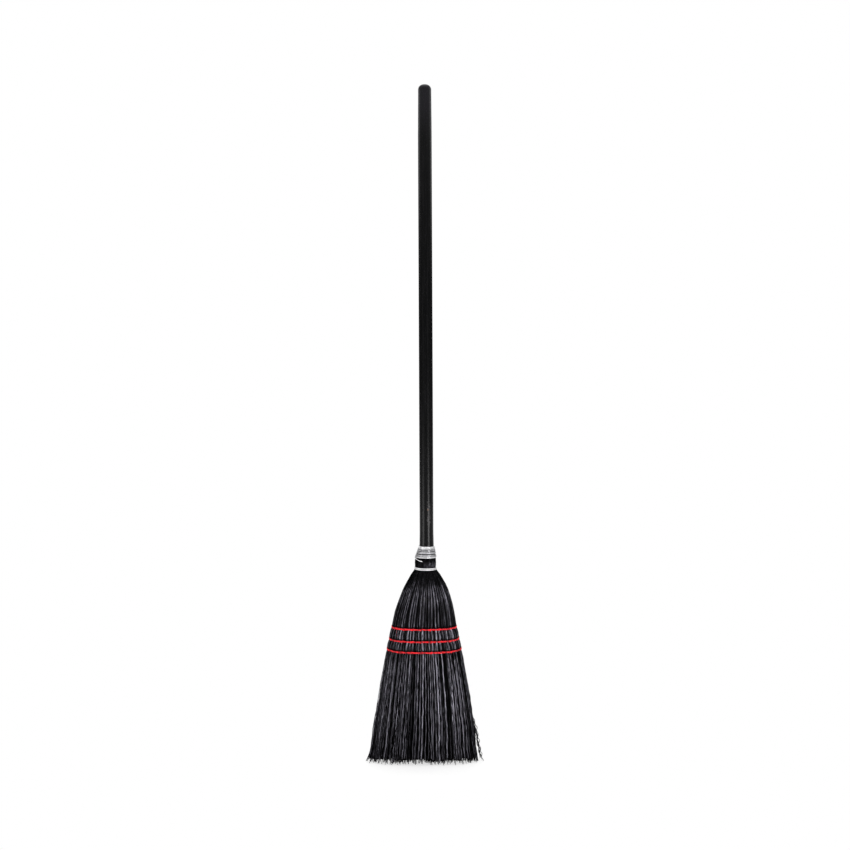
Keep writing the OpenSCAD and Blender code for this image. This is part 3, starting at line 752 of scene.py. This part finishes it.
outside = fibre_share >= CORE_SHARE
at_left = outside & (np.abs(fibre_angle - 180) <= SHOULDER_ANGLE)
at_right = outside & ((fibre_angle <= SHOULDER_ANGLE) | (fibre_angle >= 360 - SHOULDER_ANGLE))
at_front = outside & ~at_left & ~at_right & (fibre_w < 0)
at_back = outside & ~at_left & ~at_right & (fibre_w >= 0)
outer_bundle("left_shoulder_fibres", "left_shoulder_bristles", at_left, 61)
outer_bundle("right_shoulder_fibres", "right_shoulder_bristles", at_right, 62)
outer_bundle("front_cover_fibres", "front_cover_bristles", at_front, 63)
outer_bundle("back_cover_fibres", "back_cover_bristles", at_back, 64)
bpy.data.objects.remove(fibre_profile)

# Binding wire: one galvanised wire, wound tight with the broom turning. A band of two turns holds
# the neck, one pass slants up across the fibres, and close turns cover the trimmed cone of butts.
CONE_TURNS = 9.25
CONE_TOP = CROSSING_TOP + CONE_TURNS * WIRE_TURN
BAND_TURNS = 2
BAND_TOP = CROSSING_TOP - CROSSING_DROP
# The slanted pass lies this deep where fibres cover it, and by this share of it where it is only bedded
CROSSING_SINK = 2
CROSSING_BED = 0.45
BED_START = (184, 206)
# Angle of the wire's first hole, at the back, and the radius to which each of its ends goes in
WIRE_BACK = 90
CONE_WIRE_END = 5
BAND_WIRE_END = 4
# The cone's surface under the wire: heights and radii
SEAT_HEIGHT = (CONE_FOOT, HANDLE_NECK, HANDLE_NECK + WIRE_TURN)
SEAT_RADIUS = (NECK_RADIUS - 0.2, 10.7, HANDLE_NECK_RADIUS)
SEAT_GAP = 0.05
# The cone's turns wander a little, except near its two ends
WANDER_SIZE = 0.035
WANDER_RATES = (0.31, 0.53, 0.87, 1.63)
CALM_ANGLE = 200
# After these turns of the cone the next one stands apart, by these distances
GAP_TURNS = (2.6, 4, 6)
GAP_WIDTHS = (0.25, 0.5, 0.85)
GAP_REACH = 0.2
CLOSE_TURN = WIRE_TURN - sum(GAP_WIDTHS) / CONE_TURNS


def cone_drop(turns):
    """How far the wire has come down the cone after some turns"""
    drop = CLOSE_TURN * turns
    for turn, width in zip(GAP_TURNS, GAP_WIDTHS):
        drop += width * ease(turn - GAP_REACH, turn + GAP_REACH, turns)
    return drop


def wire_seat(z):
    return np.interp(z, SEAT_HEIGHT, SEAT_RADIUS) + SEAT_GAP + WIRE_RADIUS


wire_rng = np.random.default_rng(8)
uneven_phase = wire_rng.uniform(0, 2 * math.pi, len(WANDER_RATES))


def uneven(angle):
    """A small wander of the turns"""
    t = math.radians(angle)
    return WANDER_SIZE * sum(math.sin(rate * t + phase) for rate, phase in zip(WANDER_RATES, uneven_phase))


cone_end = WIRE_BACK + 360 * CONE_TURNS
crossing_end = cone_end + CROSSING_ANGLE
band_end = crossing_end + 360 * BAND_TURNS
step = 360 / ROUND_POINTS
binding_path = bent_in(wire_seat(CONE_TOP), CONE_WIRE_END, WIRE_BACK, CONE_TOP, 1)
for angle in np.arange(WIRE_BACK + START_ANGLE, cone_end, step):
    z = CONE_TOP - cone_drop((angle - WIRE_BACK) / 360)
    calm = min(1, (angle - WIRE_BACK) / CALM_ANGLE, (cone_end - angle) / CALM_ANGLE)
    binding_path.append(polar(wire_seat(z), angle, z + calm * uneven(angle)))
for angle in np.arange(cone_end, crossing_end, step):
    seen = angle - cone_end + 180
    z = crossing_height(seen)
    bedded = CROSSING_BED * ease(*BED_START, seen) * (1 - ease(*OVER_STOP, seen))
    sink = CROSSING_SINK * max(bedded, over_crossing(seen))
    binding_path.append(polar(wire_seat(z) - sink, angle, z))
for angle in np.arange(crossing_end, band_end - STOP_ANGLE, step):
    z = BAND_TOP - WIRE_TURN * (angle - crossing_end) / 360
    binding_path.append(polar(wire_seat(z), angle, z))
band_foot = BAND_TOP - WIRE_TURN * BAND_TURNS
binding_path += bent_in(wire_seat(BAND_TOP), BAND_WIRE_END, band_end, band_foot, -1)[::-1]
binding_wire = wire_piece("binding_wire_turns", binding_path, WIRE_RADIUS, 3)
dress(binding_wire, galvanised)
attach(binding_wire, "root")
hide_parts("binding_wire")

# Sewing: three rows of plied red twine. In each row one length goes twice round the head, and a
# second is sewn through from the left, slanting over the wrap on the front and tying it at the back.
PLIES = 3
PLY_SHARE = 0.5
WRAP_RADIUS = 0.55
LACING_RADIUS = 0.55
WRAP_SPREAD = 0.48
STITCH_RISE = 0.95
STITCH_LEAN = 0.0615
STITCH_SIDE = 3
TWINE_STEP = 0.5
TWINE_LAY = 3.4
SPAN_POINTS = 12
FIRST_SIDE = (0.3, 0.2, 1)
# Angles at which the wrap's two turns start and end at the back, and how deep its ends are tucked in
WRAP_STARTS = (52, 60)
WRAP_END = 37
WRAP_STEP = 3
WRAP_TUCK = 4
# The wrap beds into the fibres; at the head's ends it is drawn in, its turns part, and lower rows rise
WRAP_BED = 0.25
END_DRAW = 0.7
END_SPREAD = 0.4
END_RISE = 0.04
# A stitch goes in by its depth, lies on the fibres beside the wrap and beds into the wrap that it crosses
STITCH_DEPTH = -2.5
STITCH_BED = 0.3
STITCH_OVER_BED = 0.45
STITCH_EDGE = 0.7
STITCH_BACK_EDGE = 0.3
# Places along a stitch at which it lies over the wrap
OVER_WRAP = (0.3, 0.5, 0.7)
# The free end of the top twine: across, out of the head's face by, and height
TWINE_TAIL = ((-42.6, -0.6, 179.2), (-42.4, -0.4, 182), (-42.2, -0.4, 185.5), (-42, -3, 187.5))
TWINE_RED = (1, 0.02, 0.032, 1)
TWINE_DARK = (0.2, 0.002, 0.006, 1)


def smooth_run(points, step):
    """Points at an even step along a soft curve through the given ones"""
    points = np.asarray(points, float)
    ends = np.concatenate([[2 * points[0] - points[1]], points, [2 * points[-1] - points[-2]]])
    t = np.linspace(0, 1, SPAN_POINTS, endpoint=False)[:, None]
    parts = []
    for a, b, c, d in zip(ends, ends[1:], ends[2:], ends[3:]):
        bend = (2 * a - 5 * b + 4 * c - d) * t ** 2 + (3 * b - a - 3 * c + d) * t ** 3
        parts.append((2 * b + (c - a) * t + bend) / 2)
    dense = np.concatenate(parts + [points[-1:]])
    along = np.concatenate([[0], np.cumsum(np.linalg.norm(np.diff(dense, axis=0), axis=1))])
    even = np.linspace(0, along[-1], max(2, int(along[-1] / step)))
    return np.stack([np.interp(even, along, dense[:, i]) for i in range(3)], axis=1), even


def plied_twine(name, points, radius):
    """A twine of three plies twisted together along a path in millimetres"""
    path, along = smooth_run(points, TWINE_STEP)
    forward = np.gradient(path, axis=0)
    forward /= np.linalg.norm(forward, axis=1)[:, None]
    side = np.zeros_like(path)
    side[0] = np.cross(forward[0], FIRST_SIDE)
    side[0] /= np.linalg.norm(side[0])
    for i in range(1, len(path)):
        kept = side[i - 1] - forward[i] * np.dot(side[i - 1], forward[i])
        side[i] = kept / np.linalg.norm(kept)
    other = np.cross(forward, side)
    curve = bpy.data.curves.new(name, "CURVE")
    curve.dimensions = "3D"
    curve.twist_mode = "MINIMUM"
    curve.bevel_mode = "ROUND"
    curve.bevel_depth = PLY_SHARE * radius * MM
    curve.bevel_resolution = 1
    curve.use_fill_caps = True
    for ply in range(PLIES):
        turn = (along / TWINE_LAY + ply / PLIES) * 2 * math.pi
        offset = PLY_SHARE * radius * (np.cos(turn)[:, None] * side + np.sin(turn)[:, None] * other)
        run = curve.splines.new("POLY")
        run.points.add(len(path) - 1)
        places = np.concatenate([(path + offset) * MM, np.ones((len(path), 1))], axis=1)
        run.points.foreach_set("co", places.ravel())
    twine = bpy.data.objects.new(name, curve)
    bpy.context.scene.collection.objects.link(twine)
    twine = to_mesh(twine)
    close_ends()
    return twine


def outline_depth(x, out, z):
    """Half thickness of the head at a place across it, and beyond it by a distance"""
    u = (x - head_middle(z)) / (half_width(z) + out)
    chord = max(0, 1 - min(1, abs(u)) ** SECTION_POWER) ** (1 / SECTION_POWER)
    return (half_depth(z) - ROW_PINCH + out) * chord


def wrap_points(row):
    """The twine goes twice round the head, the upper turn first, with both ends tucked in at the back"""
    out = WRAP_RADIUS - WRAP_BED
    power = 2 / SECTION_POWER
    points = []
    for start, high in zip(WRAP_STARTS, (1, -1)):
        for angle in np.arange(start, 360 + WRAP_END + 0.1, WRAP_STEP):
            c, s = math.cos(math.radians(angle)), math.sin(math.radians(angle))
            side = abs(c) ** 10
            rise = END_RISE * (SEWN_ROWS[0] - row) * abs(c) ** 4
            reach = half_width(row) + out - END_DRAW * side
            x = head_middle(row) + reach * math.copysign(abs(c) ** power, c)
            y = (half_depth(row) - ROW_PINCH + out) * math.copysign(abs(s) ** power, s)
            points.append((x, y, row + rise + high * WRAP_SPREAD * (1 + END_SPREAD * side)))
    first, last = [(x, y - WRAP_TUCK, z) for x, y, z in (points[0], points[-1])]
    return [first] + points + [last]


def stitch_x(k, face, row):
    return head_middle(row) + half_width(row) * (k * STITCH_SHARE + face * STITCH_LEAN)


def lacing_points(row):
    """The stitches from the left: slanting over the wrap on the front, then through and up at the back"""
    over = WRAP_RADIUS * 2 + LACING_RADIUS - STITCH_OVER_BED
    under = LACING_RADIUS - STITCH_BED
    high, low = row + STITCH_RISE, row - STITCH_RISE
    points = [(stitch_x(-STITCH_SIDE, 0, row), 0, high)]
    if row == SEWN_ROWS[0]:
        # The free end comes out at the left and lies down on the fibres
        points = [(x, -outline_depth(x, out, z), z) for x, out, z in TWINE_TAIL] + points
    for k in range(-STITCH_SIDE, STITCH_SIDE):
        left, right = stitch_x(k, -1, row), stitch_x(k + 1, -1, row)
        behind = stitch_x(k + 1, 1, row)
        points.append((left, -outline_depth(left, STITCH_DEPTH, row), high))
        points.append((left + STITCH_EDGE, -outline_depth(left, under, row), high))
        for part in OVER_WRAP:
            x = left + (right - left) * part
            points.append((x, -outline_depth(x, over, row), high + (low - high) * part))
        points.append((right - STITCH_EDGE, -outline_depth(right, under, row), low))
        points.append((right, -outline_depth(right, STITCH_DEPTH, row), low))
        points.append((behind, outline_depth(behind, STITCH_DEPTH, row), low))
        points.append((behind, outline_depth(behind, under, row), low + STITCH_BACK_EDGE))
        points.append((behind, outline_depth(behind, over, row), row))
        points.append((behind, outline_depth(behind, under, row), high - STITCH_BACK_EDGE))
        points.append((behind, outline_depth(behind, STITCH_DEPTH, row), high))
    return points + [(stitch_x(STITCH_SIDE, 0, row), 0, high)]


red_twine, shader, place = new_finish("red_twine", Sheen_Weight=0.05, Specular_IOR_Level=0.3)
hairs = place.noise(2600, 3)
worn = place.noise(260, 2)
(0.45 * hairs + 0.55 * worn).between(0.41, 0.54).tint(TWINE_DARK, TWINE_RED).into(shader, "Base Color")
(0.5 + 0.25 * hairs).into(shader, "Roughness")
hairs.bump(0.5, 0.0002).into(shader, "Normal")

for row_name, row in zip(("top", "middle", "bottom"), SEWN_ROWS):
    wrap = plied_twine(row_name + "_wrap", wrap_points(row), WRAP_RADIUS)
    lacing = plied_twine(row_name + "_lacing", lacing_points(row), LACING_RADIUS)
    for piece, node in ((wrap, "_twine_wrap"), (lacing, "_twine_lacing")):
        dress(piece, red_twine)
        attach(piece, "root")
        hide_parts(row_name + node)

# Studio: a white floor and surroundings, two low soft lamps at the front, left and right, two high
# ones behind for the rims of the handle, one above, and a level camera at half the broom's height.
FLOOR_SIZE = 12
# Round the foot, out to this distance, the floor glows less and takes the shadow
SHADOW_REACH = (0.12, 0.2)
SHADOW_SHAPE = (1, 1.9, 1)
SHADOW_GLOW = 0.63
SHADOW_PAPER = (0.45, 0.45, 0.45, 1)
FLOOR_PAPER = (0.7, 0.7, 0.7, 1)
WHITE = (1, 1, 1, 1)
# The light of the surroundings, and in mirrors a dark room with a white wall behind and a white ceiling
AMBIENT = (0.62, 0.62, 0.62, 1)
ROOM_DARK = (0.03, 0.03, 0.031, 1)
WALL_EDGE = (0.93, 0.98)
CEILING_EDGE = (0.12, 0.45)
TOP_LAMP_PLACE = (0, -0.25, 2.1)
TOP_LAMP_SIZE = 1.4
TOP_LAMP_POWER = 14

bpy.ops.object.select_all(action="DESELECT")
bpy.ops.mesh.primitive_plane_add(size=FLOOR_SIZE, location=(0, 0, 0))
floor = bpy.context.active_object
floor.name = "studio_floor"
floor_white = bpy.data.materials.new("floor_white")
floor_white.use_nodes = True
tree = floor_white.node_tree
tree.nodes.clear()
place = Value(tree, tree.nodes.new("ShaderNodeTexCoord").outputs["Object"])
oval = place.stretched(SHADOW_SHAPE)
distance = place.node("ShaderNodeVectorMath", {"operation": "LENGTH"}, {0: oval}, "Value")
ray = tree.nodes.new("ShaderNodeLightPath")
seen = Value(tree, ray.outputs["Is Camera Ray"])
seen = seen.larger(Value(tree, ray.outputs["Is Transmission Ray"]))
seen = seen.larger(Value(tree, ray.outputs["Is Glossy Ray"]))
paper = place.node("ShaderNodeBsdfDiffuse", {}, {"Color": FLOOR_PAPER})
glow = place.node("ShaderNodeEmission", {}, {"Color": WHITE, "Strength": 1.0})
near_glow = place.node("ShaderNodeEmission", {}, {"Color": WHITE, "Strength": SHADOW_GLOW})
near_paper = place.node("ShaderNodeBsdfDiffuse", {}, {"Color": SHADOW_PAPER})
near = place.node("ShaderNodeAddShader", {}, {0: near_glow, 1: near_paper})
white = place.node("ShaderNodeMixShader", {}, {0: distance.between(*SHADOW_REACH), 1: near, 2: glow})
surface = place.node("ShaderNodeMixShader", {}, {0: seen, 1: paper, 2: white})
surface.into(tree.nodes.new("ShaderNodeOutputMaterial"), "Surface")
floor.data.materials.append(floor_white)

world = bpy.data.worlds.new("studio")
world.use_nodes = True
tree = world.node_tree
tree.nodes.clear()
place = Value(tree, tree.nodes.new("ShaderNodeTexCoord").outputs["Generated"])
ray = tree.nodes.new("ShaderNodeLightPath")
seen = Value(tree, ray.outputs["Is Camera Ray"])
seen = seen.larger(Value(tree, ray.outputs["Is Transmission Ray"]))
behind = place.axis("Y").between(*WALL_EDGE)
above = place.axis("Z").between(*CEILING_EDGE)
room = behind.larger(above).tint(ROOM_DARK, WHITE)
around = Value(tree, ray.outputs["Is Glossy Ray"]).tint(AMBIENT, room)
surround = place.node("ShaderNodeBackground", {}, {"Color": seen.tint(around, WHITE), "Strength": 1.0})
surround.into(tree.nodes.new("ShaderNodeOutputWorld"), "Surface")
bpy.context.scene.world = world


def soft_lamp(name, azimuth, distance, height, size, power):
    """A soft lamp on a circle round the broom, turned to face it; azimuth 0 is in front"""
    turn = math.radians(azimuth)
    spot = (distance * math.sin(turn), -distance * math.cos(turn), height)
    bpy.ops.object.light_add(type="AREA", location=spot, rotation=(math.radians(90), 0, turn))
    lamp = bpy.context.active_object
    lamp.name = name
    lamp.data.shape = "RECTANGLE"
    lamp.data.size, lamp.data.size_y = size
    lamp.data.energy = power


# Azimuth in degrees, distance, height, the lamp's width and height, and its power
soft_lamp("left_lamp", -54, 1.3, 0.13, (0.7, 0.26), 5)
soft_lamp("right_lamp", 37, 1.3, 0.13, (0.46, 0.26), 8.4)
soft_lamp("left_rim_lamp", -112, 1.5, 1.36, (0.6, 0.5), 1.7)
soft_lamp("right_rim_lamp", 112, 1.5, 1.36, (0.6, 0.5), 1.7)
bpy.ops.object.light_add(type="AREA", location=TOP_LAMP_PLACE, rotation=(0, 0, 0))
top_lamp = bpy.context.active_object
top_lamp.name = "top_lamp"
top_lamp.data.size = TOP_LAMP_SIZE
top_lamp.data.energy = TOP_LAMP_POWER

CAMERA_SENSOR = 36
CAMERA_LENS = 38.92
CAMERA_PLACE = (-0.0015, -1.295, 0.4733)
CAMERA_ROLL = 0.25
bpy.ops.object.camera_add(location=CAMERA_PLACE, rotation=(math.radians(90), math.radians(CAMERA_ROLL), 0))
camera = bpy.context.active_object
camera.data.sensor_width = CAMERA_SENSOR
camera.data.lens = CAMERA_LENS
bpy.context.scene.camera = camera
bpy.context.scene.view_settings.view_transform = "Standard"
